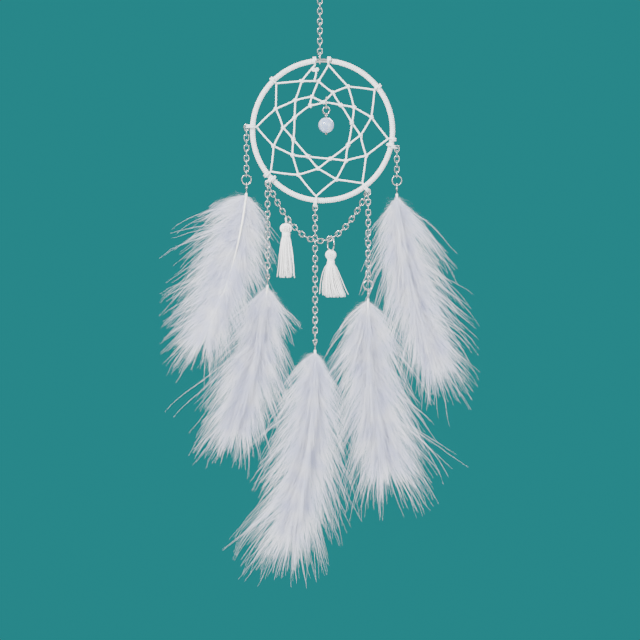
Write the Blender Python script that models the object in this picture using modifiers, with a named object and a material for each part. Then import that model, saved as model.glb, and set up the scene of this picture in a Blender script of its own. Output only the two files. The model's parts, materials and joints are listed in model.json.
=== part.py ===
"""Small hanging dream catcher: wrapped hoop, cord web, bead drop, five feather strands and a swag."""
import math

import bmesh
import bpy
import numpy as np
from mathutils import Matrix, Vector

MM = 0.001
GAP = 0.15 * MM  # free play between two wires that hook into each other

# Frame: the origin is the top of the hanging ring's eye, where the hook bears
HOOP_RADIUS = 36.4 * MM  # wire centreline
HOOP_WIRE = 0.95 * MM  # every "wire" and "cord" size below is a radius
WRAP_BORE = 1.2 * MM
WRAP_OUTER = 1.4 * MM
HOOP_STEP = 7.5  # degrees between the hoop's stations
WRAP_START = 97.5  # the wrap leaves the top of the hoop bare for the hanging ring
WRAP_SWEEP = 345.0

LINK_WIRE = 0.33 * MM
LINK_HALF_WIDTH = 1.17 * MM  # wire centreline
LINK_HALF_LENGTH = 1.53 * MM  # short enough for linked bars to fuse into one solid
LINK_PITCH = 2.66 * MM

EYE_RADIUS = 5.6 * MM  # hanging ring
EYE_WIRE = 0.6 * MM
HALF_CHAIN_LINKS = 6  # in each half of the suspension chain
HOOP_RING_RADIUS = 2.8 * MM
HOOP_RING_WIRE = 0.4 * MM

CORD = 0.45 * MM
WEB_LOOP_RADIUS = 2.05 * MM  # cord hitched round the wrapped hoop
WEB_HITCHES = (96.3, 134.4, 176.9, 218.3, 264.4, 307.0, 352.8, 398.0, 444.8)  # degrees round the hoop
WEB_KNOTS = 36
WEB_TENSION = (1.0, 0.7, 0.55, 0.4, 0.4)  # force per length in each row, outermost first
BEAD_KNOT = 34
BEAD_PULL = 3.0 * MM  # downward, in the same units
KNOT_RADIUS = 0.62 * MM

HANG_LOOP_RADIUS = 2.65 * MM  # cord loops that the strands hang from
HANG_LOOP_SHIFT = 0.6 * MM

JUMP_RADIUS = 2.45 * MM
JUMP_WIRE = 0.33 * MM
PIN_EYE_RADIUS = 0.95 * MM
PIN_WIRE = 0.27 * MM
PIN_DROP = 5.2 * MM
QUILL_TOP = 0.75 * MM
QUILL_TIP = 0.3 * MM
QUILL_STATIONS = 10
QUILL_BORE = 0.3 * MM  # clearance round the quill in its plume
PLUME_DEPTH = 2.3 * MM
PLUME_WIDEST = 0.65  # share of the length where the plume stops widening
PLUME_FULLNESS = (0.35, 0.75, -0.1)  # at the quill, gained by the widest place, lost towards the tip

BEAD_RADIUS = 4.0 * MM
BEAD_EYE_RADIUS = 1.75 * MM
BEAD_LINK_HALF = (1.85 * MM, 2.95 * MM)  # half width and half length of the bead's hanger link
BEAD_STEM = 1.6 * MM  # bare wire between the pin's eye and the bead
BEAD_BORE = 0.6 * MM
PIN_END = 0.7 * MM  # the pin shows this much below the bead
PIN_HEAD = (0.75 * MM, 0.75 * MM, 0.35 * MM)
SLOPING_CORD = 1.4 * CORD  # half height of a sloping run where the bead's link crosses it

SWAG_TILT = math.radians(12.0)  # it hangs behind the centre chain
SWAG_SIDE = 1.2 * MM  # strand and swag share a loop, one each side of the hoop's plane

# name: loop angle on the hoop, side of the hoop's plane, links in the chain
STRANDS = {
    "left": dict(angle=WEB_HITCHES[2], side=0.0, links=10, layer=-5.7, tip=(-26.5, -86.0), bow=5.0, half=(19.0, 13.0)),
    "right": dict(angle=347.0, side=0.0, links=6, layer=-5.7, tip=(24.5, -99.0), bow=-6.0, half=(13.0, 19.0)),
    "lower_left": dict(angle=223.4, side=-SWAG_SIDE, links=17, layer=5.7, tip=(-19.5, -82.5), bow=3.0,
                       half=(14.0, 13.0)),
    "lower_right": dict(angle=WEB_HITCHES[5], side=-SWAG_SIDE, links=18, layer=5.7, tip=(11.5, -98.0),
                        bow=-4.0, half=(13.0, 14.0)),
    "centre": dict(angle=WEB_HITCHES[4], side=0.0, links=25, layer=-5.7, tip=(-16.5, -108.0), bow=5.0,
                   half=(13.5, 13.0)),
}

SWAG_DROP = 28.0 * MM
SWAG_LINKS = 31  # odd, so both end links lie flat
SWAG_SPLITS = (11, 21)  # first links of the middle and right lengths
SWAG_FREE = 0.5 * MM
SWAG_HOOK = Vector((0.3 * MM, 0.65 * MM))  # the end links' bars stand above and outside their loops
SWAG_SAMPLES = 400

TASSEL_LINKS = (8, 18)
TASSEL_HEAD = 2.3 * MM  # half height
TASSEL_BAND = 0.35 * MM
SKIRT_PROFILE = ((0.75, 0.45), (1.0, 0.9), (0.9, 1.0), (0.0, 1.0))  # shares of the flare and of the length
SILVER = dict(colour=(0.72, 0.72, 0.70), metallic=1.0, roughness=0.28)
COTTON = dict(colour=(0.86, 0.86, 0.84), metallic=0.0, roughness=0.85)
DOWN = dict(colour=(0.90, 0.91, 0.92), metallic=0.0, roughness=0.9)
KERATIN = dict(colour=(0.85, 0.85, 0.82), metallic=0.0, roughness=0.4)
OPAL = dict(colour=(0.62, 0.74, 0.86), metallic=0.0, roughness=0.1)

TASSELS = {
    "left_tassel": dict(ring=1.25 * MM, wire=0.3 * MM, rise=1.1 * MM, normal=(1, 0, 0), finish=COTTON,
                        head=2.9 * MM, neck=1.7 * MM, flare=4.0 * MM, squash=0.8, length=22.5 * MM),
    "right_tassel": dict(ring=3.45 * MM, wire=0.37 * MM, rise=0.95 * MM, normal=(0.87, 0.5, 0), finish=SILVER,
                         head=2.5 * MM, neck=1.6 * MM, flare=6.5 * MM, squash=0.6, length=17.5 * MM),
}

# Heights that follow from the parts above, measured down from the origin
EYE_BOTTOM = -(2 * EYE_RADIUS - EYE_WIRE)
CHAIN_TOP = EYE_BOTTOM + EYE_WIRE + GAP + LINK_WIRE
HALF_CHAIN = (HALF_CHAIN_LINKS - 1) * LINK_PITCH + 2 * LINK_HALF_LENGTH
TWIST_TOP = CHAIN_TOP - HALF_CHAIN + 2 * LINK_WIRE + GAP
HOOP_RING_TOP = TWIST_TOP - HALF_CHAIN + LINK_WIRE + GAP + HOOP_RING_WIRE
HOOP_TOP = HOOP_RING_TOP - 2 * HOOP_RING_RADIUS + HOOP_RING_WIRE + GAP + HOOP_WIRE
CHAIN_OFFSET = 1.4 * MM  # the chain hangs a little left of the hoop's centre
HOOP_CENTRE = Vector((CHAIN_OFFSET, 0.0, HOOP_TOP - math.sqrt(HOOP_RADIUS**2 - CHAIN_OFFSET**2)))

for old in list(bpy.data.objects):
    bpy.data.objects.remove(old, do_unlink=True)


def collection(name):
    made = bpy.data.collections.new(name)
    bpy.context.scene.collection.children.link(made)
    return made


PARTS = collection("dream_catcher")
CUTTERS = collection("cutters")


def material(name, finish):
    made = bpy.data.materials.new(name)
    made.use_nodes = True
    shader = made.node_tree.nodes["Principled BSDF"]
    shader.inputs["Base Color"].default_value = (*finish["colour"], 1.0)
    shader.inputs["Metallic"].default_value = finish["metallic"]
    shader.inputs["Roughness"].default_value = finish["roughness"]
    return made


def part(name, mesh, finish, pivot=(0.0, 0.0, 0.0)):
    """A finished node: its mesh is given in world places, its origin goes to its joint."""
    pivot = Vector(pivot)
    mesh.transform(Matrix.Translation(-pivot))
    mesh.shade_smooth()
    mesh.set_sharp_from_angle(angle=math.radians(40))
    made = bpy.data.objects.new(name, mesh)
    made.location = pivot
    mesh.materials.clear()
    mesh.materials.append(material(name + "_finish", finish))
    PARTS.objects.link(made)
    return made


def remove(thing):
    data = thing.data
    bpy.data.objects.remove(thing, do_unlink=True)
    if isinstance(data, bpy.types.Curve):
        bpy.data.curves.remove(data)


def evaluated_mesh(thing):
    """The object's finished mesh in world places, welded; the object is removed."""
    bpy.context.view_layer.update()
    graph = bpy.context.evaluated_depsgraph_get()
    mesh = bpy.data.meshes.new_from_object(thing.evaluated_get(graph))
    mesh.transform(thing.matrix_world)
    weld = bmesh.new()
    weld.from_mesh(mesh)
    bmesh.ops.remove_doubles(weld, verts=weld.verts, dist=0.002 * MM)
    weld.to_mesh(mesh)
    weld.free()
    remove(thing)
    return mesh


def tube(points, radius, cyclic=False, radii=None, sides=2):
    """A round bar along the points; sides is the curve's bevel resolution."""
    data = bpy.data.curves.new("tube", "CURVE")
    data.dimensions = "3D"
    data.bevel_depth = radius
    data.bevel_resolution = sides
    data.use_fill_caps = not cyclic
    data.twist_mode = "MINIMUM"
    spline = data.splines.new("POLY")
    spline.points.add(len(points) - 1)
    for place, (target, point) in enumerate(zip(spline.points, points)):
        target.co = (*point, 1.0)
        target.radius = radii[place] if radii else 1.0
    spline.use_cyclic_u = cyclic
    made = bpy.data.objects.new("tube", data)
    CUTTERS.objects.link(made)
    return evaluated_mesh(made)


def torus(centre, radius, wire, normal, steps=14, sides=6):
    bpy.ops.mesh.primitive_torus_add(major_segments=steps, minor_segments=sides,
                                     major_radius=radius, minor_radius=wire)
    made = bpy.context.object
    turn = Vector((0, 0, 1)).rotation_difference(Vector(normal)).to_matrix().to_4x4()
    made.matrix_world = Matrix.Translation(centre) @ turn
    return evaluated_mesh(made)


def ball(centre, size, across=8, down=6):
    """A sphere primitive, stretched to the half sizes in size."""
    mesh = bpy.data.meshes.new("ball")
    work = bmesh.new()
    bmesh.ops.create_uvsphere(work, u_segments=across, v_segments=down, radius=1.0)
    bmesh.ops.transform(work, matrix=Matrix.Translation(centre) @ Matrix.Diagonal((*size, 1.0)),
                        verts=work.verts)
    work.to_mesh(mesh)
    work.free()
    return mesh


def knot(centre, radius):
    mesh = bpy.data.meshes.new("knot")
    work = bmesh.new()
    bmesh.ops.create_icosphere(work, subdivisions=1, radius=radius, matrix=Matrix.Translation(centre))
    work.to_mesh(mesh)
    work.free()
    return mesh


def turned(profile, centre, steps=12, squash=1.0):
    """A profile of (radius, height) points, top to bottom, turned about Z."""
    mesh = bpy.data.meshes.new("profile")
    rim = [(radius, 0.0, height) for radius, height in profile]
    mesh.from_pydata(rim, [(i, i + 1) for i in range(len(rim) - 1)], [])
    made = bpy.data.objects.new("turned", mesh)
    CUTTERS.objects.link(made)
    screw = made.modifiers.new("Turn", "SCREW")
    screw.axis = "Z"
    screw.steps = steps
    screw.render_steps = steps
    screw.use_merge_vertices = True
    screw.merge_threshold = 0.01 * MM
    made.matrix_world = Matrix.Translation(centre) @ Matrix.Diagonal((1.0, squash, 1.0, 1.0))
    return evaluated_mesh(made)


def boolean(meshes, operation):
    """The first mesh joined with, or cut by, all the others."""
    others = collection("operands")
    things = []
    for mesh in meshes:
        thing = bpy.data.objects.new("operand", mesh)
        (others if things else CUTTERS).objects.link(thing)
        thing.hide_render = True
        thing.display_type = "WIRE"
        things.append(thing)
    solid = things[0].modifiers.new("Boolean", "BOOLEAN")
    solid.operation = operation
    solid.operand_type = "COLLECTION"
    solid.collection = others
    solid.solver = "EXACT"
    mesh = evaluated_mesh(things[0])
    for thing in things[1:]:
        remove(thing)
    bpy.data.collections.remove(others)
    return mesh


def fuse(meshes):
    return boolean(meshes, "UNION") if len(meshes) > 1 else meshes[0]


def link(top, down, across, half_width=LINK_HALF_WIDTH, half_length=LINK_HALF_LENGTH, wire=LINK_WIRE):
    """One chain link: top is the centre of its upper bar, across lies in its plane."""
    down = Vector(down).normalized()
    across = Vector(across)
    across = (across - across.dot(down) * down).normalized()
    middle = Vector(top) + down * half_length
    bar = 0.5 * half_width
    shoulder = half_length - 0.75 * half_width
    outline = [(half_width, shoulder), (bar, half_length), (-bar, half_length), (-half_width, shoulder)]
    outline += [(-u, -v) for u, v in outline]
    return tube([middle + across * u + down * v for u, v in outline], wire, cyclic=True, sides=0)


def straight_chain(top, count, first_across):
    """Links hanging straight down, each turned a quarter from the last."""
    sides = (Vector(first_across), Vector((0, 0, 1)).cross(Vector(first_across)))
    places = [Vector(top) - Vector((0, 0, LINK_PITCH * i)) for i in range(count)]
    return fuse([link(place, (0, 0, -1), sides[i % 2]) for i, place in enumerate(places)])


def on_hoop(degrees, radius, y=0.0):
    angle = math.radians(degrees)
    return HOOP_CENTRE + Vector((radius * math.cos(angle), y, radius * math.sin(angle)))


def hoop_loop(degrees, radius, shift):
    """A turn of cord round the wrapped hoop."""
    tangent = on_hoop(degrees + 90, 1.0) - HOOP_CENTRE
    return torus(on_hoop(degrees, HOOP_RADIUS + shift), radius, CORD, tangent, steps=10, sides=5)


def hang_point(degrees, side):
    """Centre of the hang loop's cord at its outermost, or a little to one side of the hoop's plane."""
    reach = math.sqrt(HANG_LOOP_RADIUS**2 - side**2)
    return on_hoop(degrees, HOOP_RADIUS + HANG_LOOP_SHIFT + reach, side)


def suspension():
    part("hanging_ring", torus(Vector((0, 0, -EYE_RADIUS + EYE_WIRE)), EYE_RADIUS, EYE_WIRE, (0, 1, 0),
                               steps=24), SILVER)
    part("upper_chain", straight_chain((0, 0, CHAIN_TOP), HALF_CHAIN_LINKS, (0, 1, 0)), SILVER,
         (0, 0, CHAIN_TOP))
    part("lower_chain", straight_chain((0, 0, TWIST_TOP), HALF_CHAIN_LINKS, (0, 1, 0)), SILVER,
         (0, 0, TWIST_TOP))
    ring_centre = Vector((0, 0, HOOP_RING_TOP - HOOP_RING_RADIUS))
    part("hoop_ring", torus(ring_centre, HOOP_RING_RADIUS, HOOP_RING_WIRE, (1, 0, 0)), SILVER,
         (0, 0, HOOP_RING_TOP))


def hoop():
    stations = int(360 / HOOP_STEP)
    circle = [on_hoop(WRAP_START + HOOP_STEP * i, HOOP_RADIUS) for i in range(stations)]
    part("hoop_wire", tube(circle, HOOP_WIRE, cyclic=True), SILVER, HOOP_CENTRE)
    # the wrap is a sleeve: its outer tube less a bore that runs out of both ends
    count = int(WRAP_SWEEP / HOOP_STEP) + 1
    sleeve = circle[:count]
    ends = [on_hoop(WRAP_START - HOOP_STEP / 4, HOOP_RADIUS),
            on_hoop(WRAP_START + WRAP_SWEEP + HOOP_STEP / 4, HOOP_RADIUS)]
    bore = tube([ends[0]] + sleeve + [ends[1]], WRAP_BORE)
    part("hoop_wrap", boolean([tube(sleeve, WRAP_OUTER), bore], "DIFFERENCE"), COTTON, HOOP_CENTRE)


def web_row(knot_index):
    """Rows are rings of nine or eight knots, counted inwards from the hoop."""
    starts = (0, 9, 17, 26, 35)
    return max(row for row, start in enumerate(starts) if knot_index >= start)


def web_runs():
    """Pairs of knots that a straight run of cord joins, with its row; each knot past the ninth
    is hitched onto the run that was tied nine knots before it."""
    hooped = len(WEB_HITCHES)
    for i in range(WEB_KNOTS - 1):
        hitch = i + hooped
        if hitch < WEB_KNOTS:
            yield i, hitch, web_row(i)
            yield hitch, i + 1, web_row(i)
        else:
            yield i, i + 1, web_row(i)


def web_places():
    """Where the knots settle when every run pulls with its row's tension and the bead pulls down."""
    hooped = len(WEB_HITCHES)
    stiffness = np.zeros((WEB_KNOTS, WEB_KNOTS))
    load = np.zeros((WEB_KNOTS, 2))
    for first, second, row in web_runs():
        for here, there in ((first, second), (second, first)):
            stiffness[here, here] += WEB_TENSION[row]
            stiffness[here, there] -= WEB_TENSION[row]
    load[BEAD_KNOT] = (0.0, -BEAD_PULL)
    for i, degrees in enumerate(WEB_HITCHES):
        stiffness[i] = 0.0
        stiffness[i, i] = 1.0
        edge = on_hoop(degrees, HOOP_RADIUS - WEB_LOOP_RADIUS) - HOOP_CENTRE
        load[i] = (edge.x, edge.z)
    settled = np.linalg.solve(stiffness, load)
    return [HOOP_CENTRE + Vector((float(x), 0.0, float(z))) for x, z in settled]


def web(places):
    pieces = [tube([places[a], places[b]], CORD, sides=0) for a, b, _ in web_runs()]
    pieces += [knot(place, KNOT_RADIUS) for place in places]
    hung = [strand["angle"] for strand in STRANDS.values()]
    for degrees in WEB_HITCHES:
        slack = degrees in hung  # the turns that carry a strand are looser, so its link fits in them
        pieces.append(hoop_loop(degrees, *((HANG_LOOP_RADIUS, HANG_LOOP_SHIFT) if slack
                                           else (WEB_LOOP_RADIUS, 0.0))))
    part("web_cord", fuse(pieces), COTTON, HOOP_CENTRE)
    # the starting knot stands in front of the web, with its cut tail hanging inside the hoop
    start = places[0] + Vector((0, -1.9 * MM, -2.6 * MM))
    lobes = [ball(start + Vector((side * 0.8 * MM, 0, 0)), (1.0 * MM, 0.9 * MM, 1.3 * MM)) for side in (-1, 1)]
    tail = tube([start, start + Vector((0.3 * MM, 0, -3 * MM)), start + Vector((-0.2 * MM, 0, -5.5 * MM))],
                CORD, sides=1)
    part("start_knot", fuse(lobes + [tail]), COTTON, start)


def bead_drop(places):
    """Hanger link round the web's innermost cords, eye pin through it and the bead."""
    # the link stands just right of the knot, round the two runs that leave it on that side
    beside = places[BEAD_KNOT].x + KNOT_RADIUS + LINK_WIRE + 2 * GAP
    crossings = []
    for a, b, _ in web_runs():
        low, high = sorted((places[a], places[b]), key=lambda place: place.x)
        if BEAD_KNOT in (a, b) and low.x < beside < high.x:
            crossings.append(low.z + (high.z - low.z) * (beside - low.x) / (high.x - low.x))
    pivot = Vector((beside, 0, (max(crossings) + min(crossings)) / 2))
    half_width, half_length = BEAD_LINK_HALF
    reach = (max(crossings) - min(crossings)) / 2 + SLOPING_CORD + 2 * GAP + LINK_WIRE
    top = pivot + Vector((0, 0, reach))
    part("bead_link", link(top, (0, 0, -1), (0, 1, 0), half_width, half_length), SILVER, pivot)
    hook = top - Vector((0, 0, 2 * half_length - 2 * LINK_WIRE - GAP))
    eye = hook - Vector((0, 0, BEAD_EYE_RADIUS))
    bead_centre = eye - Vector((0, 0, BEAD_EYE_RADIUS + LINK_WIRE + BEAD_STEM + BEAD_RADIUS))
    stem_top = eye - Vector((0, 0, BEAD_EYE_RADIUS))
    stem_end = bead_centre - Vector((0, 0, BEAD_RADIUS + PIN_END))
    head = ball(stem_end, PIN_HEAD)
    part("bead_pin", fuse([torus(eye, BEAD_EYE_RADIUS, LINK_WIRE, (0, 1, 0)),
                           tube([stem_top, stem_end], LINK_WIRE, sides=1), head]), SILVER, hook)
    bore = tube([bead_centre + Vector((0, 0, side * 1.2 * BEAD_RADIUS)) for side in (1, -1)], BEAD_BORE)
    sphere = ball(bead_centre, (BEAD_RADIUS,) * 3, across=14, down=8)
    part("bead", boolean([sphere, bore], "DIFFERENCE"), OPAL, hook)


def smooth_step(t):
    t = min(max(t, 0.0), 1.0)
    return t * t * (3 - 2 * t)


def shaft_point(base, strand, t):
    """A point of the feather's shaft: it leaves the pin straight down, then bows to its tip."""
    tip_x, tip_z = strand["tip"]
    bow = strand["bow"] * math.sin(math.pi * t) * (1 - 0.35 * t)
    depth = strand["layer"] * smooth_step(t / 0.3)
    return base + Vector((tip_x * t + bow, depth, tip_z * t)) * MM


def plume_mesh(base, strand):
    """A sphere primitive laid along the shaft: narrow at the quill, widest at two thirds."""
    mesh = ball(Vector((0, 0, 0)), (1.0, 1.0, 1.0), across=10, down=10)
    left, right = strand["half"]
    for vertex in mesh.vertices:
        u, v, w = vertex.co
        t = 0.5 - 0.5 * w
        along = 0.05 + 0.95 * t
        centre = shaft_point(base, strand, along)
        ahead = shaft_point(base, strand, along + 0.02) - shaft_point(base, strand, along - 0.02)
        across = Vector((-ahead.z, 0, ahead.x)).normalized()
        narrow, gained, lost = PLUME_FULLNESS
        fullness = narrow + gained * smooth_step(t / PLUME_WIDEST) + lost * t
        reach = (right if u > 0 else left) * MM * fullness
        offset = across * (u * reach)
        vertex.co = centre + offset + Vector((0, v * PLUME_DEPTH * (0.5 + 0.5 * fullness), 0))
    return mesh


def feather_strand(name, strand):
    """Its own cord loop where no web hitch carries it, chain, jump ring, eye pin, quill and plume."""
    pivot = hang_point(strand["angle"], strand["side"])
    if strand["angle"] not in WEB_HITCHES:
        loop = hoop_loop(strand["angle"], HANG_LOOP_RADIUS, HANG_LOOP_SHIFT)
        part(name + "_hang_loop", loop, COTTON, HOOP_CENTRE)
    top = pivot + Vector((0, 0, CORD + GAP + LINK_WIRE))
    part(name + "_chain", straight_chain(top, strand["links"], (1, 0, 0)), SILVER, pivot)
    last_bar = top.z - (strand["links"] - 1) * LINK_PITCH - 2 * LINK_HALF_LENGTH
    odd = strand["links"] % 2 == 1
    ring_top = last_bar + LINK_WIRE + GAP + JUMP_WIRE
    ring_centre = Vector((pivot.x, pivot.y, ring_top - JUMP_RADIUS))
    # the ring stands square to the last link
    ring_normal = (1, 0, 0) if odd else (0, 1, 0)
    part(name + "_jump_ring", torus(ring_centre, JUMP_RADIUS, JUMP_WIRE, ring_normal), SILVER, pivot)
    hook = ring_centre - Vector((0, 0, JUMP_RADIUS))
    eye_normal = (0, 1, 0) if odd else (1, 0, 0)
    eye = hook + Vector((0, 0, JUMP_WIRE + GAP + PIN_WIRE - PIN_EYE_RADIUS))
    pin_end = eye - Vector((0, 0, PIN_DROP))
    part(name + "_eye_pin", fuse([torus(eye, PIN_EYE_RADIUS, PIN_WIRE, eye_normal, steps=12),
                                  tube([eye - Vector((0, 0, PIN_EYE_RADIUS)), pin_end], PIN_WIRE, sides=1)]),
         SILVER, hook)
    base = pin_end - Vector((0, 0, 2 * GAP))
    stations = [i / QUILL_STATIONS for i in range(QUILL_STATIONS)]
    shaft = [shaft_point(base, strand, t) for t in stations]
    radii = [1.0 + (QUILL_TIP / QUILL_TOP - 1.0) * t for t in stations]
    part(name + "_quill", tube(shaft, QUILL_TOP, radii=radii, sides=1), KERATIN, hook)
    bore_path = [shaft_point(base, strand, t) for t in [-0.02] + stations + [0.96]]
    bore = tube(bore_path, QUILL_TOP + QUILL_BORE, radii=[1.0] + [0.2 + 0.8 * r for r in radii] + [0.5],
                sides=1)
    part(name + "_plume", boolean([plume_mesh(base, strand), bore], "DIFFERENCE"), DOWN, hook)


def swag_points():
    """The swag's curve from the lower left loop to the lower right one, finely divided."""
    left, right = (hang_point(STRANDS[side]["angle"], SWAG_SIDE) for side in ("lower_left", "lower_right"))
    left += Vector((-SWAG_HOOK.x, 0, SWAG_HOOK.y))
    right += Vector((SWAG_HOOK.x, 0, SWAG_HOOK.y))
    for i in range(SWAG_SAMPLES + 1):
        t = i / SWAG_SAMPLES
        drop = SWAG_DROP * (1.0 - (2.0 * t - 1.0) ** 2)
        yield left.lerp(right, t) + Vector((0, drop * math.tan(SWAG_TILT), -drop))


def evenly(points, count):
    """count + 1 points at equal distances along the curve."""
    points = list(points)
    lengths = [0.0]
    for start, end in zip(points, points[1:]):
        lengths.append(lengths[-1] + (end - start).length)
    wanted = [lengths[-1] * i / count for i in range(count + 1)]
    axes = [np.interp(wanted, lengths, [point[axis] for point in points]) for axis in range(3)]
    return [Vector(tuple(float(v) for v in place)) for place in zip(*axes)]


def swag():
    """Links along the curve in three lengths, which hook loosely into each other."""
    joints = evenly(swag_points(), SWAG_LINKS)
    runs = [[], [], []]
    bars = {}
    for i, (start, end) in enumerate(zip(joints, joints[1:])):
        pitch = (end - start).length
        down = (end - start) / pitch
        flat = down.cross(Vector((0, 1, 0))).normalized()
        across = flat if i % 2 == 0 else down.cross(flat)
        half_length = LINK_HALF_LENGTH
        top = start - down * (half_length - pitch / 2)
        if i in SWAG_SPLITS:  # a longer link hooks loosely into the length before
            half_length += SWAG_FREE / 2
            top -= down * SWAG_FREE
        runs[sum(i >= split for split in SWAG_SPLITS)].append(link(top, down, across, half_length=half_length))
        below = flat if flat.z < 0 else -flat
        bars[i] = (start + end) / 2 + below * LINK_HALF_WIDTH
    for name, run in zip(("swag_left", "swag_middle", "swag_right"), runs):
        part(name, fuse(run), SILVER, hang_point(STRANDS["lower_left"]["angle"], SWAG_SIDE))
    return [bars[i] for i in TASSEL_LINKS]


def tassel(name, bar, sizes):
    """A loop or ring over the swag's bar, and a bound bundle of threads under it."""
    ring = bar + Vector((0, 0, sizes["rise"] - sizes["ring"]))
    part(name + "_loop", torus(ring, sizes["ring"], sizes["wire"], sizes["normal"], steps=14), sizes["finish"],
         bar)
    top = ring - Vector((0, 0, sizes["ring"] + sizes["wire"] + 2 * GAP))
    head = sizes["head"]
    neck = sizes["neck"]
    part(name + "_head", ball(top - Vector((0, 0, TASSEL_HEAD)), (head, head, TASSEL_HEAD), across=12), COTTON,
         bar)
    neck_top = top - Vector((0, 0, 2 * TASSEL_HEAD + 2 * GAP))
    band = neck_top - Vector((0, 0, 2 * TASSEL_BAND))
    part(name + "_binding", torus(band, neck + GAP + TASSEL_BAND, TASSEL_BAND, (0, 0, 1), steps=12), COTTON, bar)
    length = sizes["length"]
    flare = sizes["flare"]
    profile = [(0, 0), (neck, 0), (neck, -4 * TASSEL_BAND)]
    profile += [(across * flare, -down * length) for across, down in SKIRT_PROFILE]
    part(name + "_skirt", turned(profile, neck_top, squash=sizes["squash"]), COTTON, bar)


suspension()
hoop()
PLACES = web_places()
web(PLACES)
bead_drop(PLACES)
for strand_name, strand_sizes in STRANDS.items():
    feather_strand(strand_name, strand_sizes)
for tassel_name, hung_on in zip(TASSELS, swag()):
    tassel(tassel_name, hung_on, TASSELS[tassel_name])
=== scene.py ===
import json
import math

import bpy
import numpy as np
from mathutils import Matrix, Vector


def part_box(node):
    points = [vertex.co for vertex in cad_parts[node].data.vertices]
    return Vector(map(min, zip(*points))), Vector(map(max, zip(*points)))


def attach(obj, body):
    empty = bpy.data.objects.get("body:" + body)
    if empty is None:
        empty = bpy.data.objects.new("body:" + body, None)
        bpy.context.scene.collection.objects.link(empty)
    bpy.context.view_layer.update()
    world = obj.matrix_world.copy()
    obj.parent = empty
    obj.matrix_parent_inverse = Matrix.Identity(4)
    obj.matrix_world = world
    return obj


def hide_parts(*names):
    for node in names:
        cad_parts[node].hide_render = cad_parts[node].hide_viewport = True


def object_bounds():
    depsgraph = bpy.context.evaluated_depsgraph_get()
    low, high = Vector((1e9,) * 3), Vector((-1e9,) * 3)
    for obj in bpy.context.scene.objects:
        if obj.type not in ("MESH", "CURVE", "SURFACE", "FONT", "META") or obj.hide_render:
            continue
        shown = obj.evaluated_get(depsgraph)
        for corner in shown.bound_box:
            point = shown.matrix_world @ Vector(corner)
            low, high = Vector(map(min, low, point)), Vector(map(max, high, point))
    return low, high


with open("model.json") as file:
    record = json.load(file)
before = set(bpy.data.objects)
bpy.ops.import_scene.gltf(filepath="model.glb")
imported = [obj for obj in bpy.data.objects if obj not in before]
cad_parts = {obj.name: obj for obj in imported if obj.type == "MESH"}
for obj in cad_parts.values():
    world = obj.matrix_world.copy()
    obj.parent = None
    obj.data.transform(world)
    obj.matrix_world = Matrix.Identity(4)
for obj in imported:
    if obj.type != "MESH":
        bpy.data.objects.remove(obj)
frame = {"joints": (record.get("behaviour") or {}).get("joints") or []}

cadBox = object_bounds()
mm = 0.001
joints = {joint["name"]: joint for joint in frame["joints"]}


# small helpers

def linear(hexColour):  # sRGB hex to the linear values that shaders take
    parts = [int(hexColour[i:i + 2], 16) / 255 for i in (1, 3, 5)]
    return tuple(c / 12.92 if c <= 0.04045 else ((c + 0.055) / 1.055) ** 2.4 for c in parts) + (1.0,)


# links: socket name or number to a value or another socket
def addNode(tree, kind, settings=None, links=None):
    node = tree.nodes.new(kind)
    for key, value in (settings or {}).items():
        setattr(node, key, value)
    for key, value in (links or {}).items():
        socket = node.inputs[key]
        if isinstance(value, bpy.types.NodeSocket):
            tree.links.new(value, socket)
        else:
            socket.default_value = value
    return node


def boxCentre(node):
    low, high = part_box(node)
    return (Vector(low) + Vector(high)) / 2


def jointPlace(name):
    return Vector(joints[name]["pos_m"])


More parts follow.
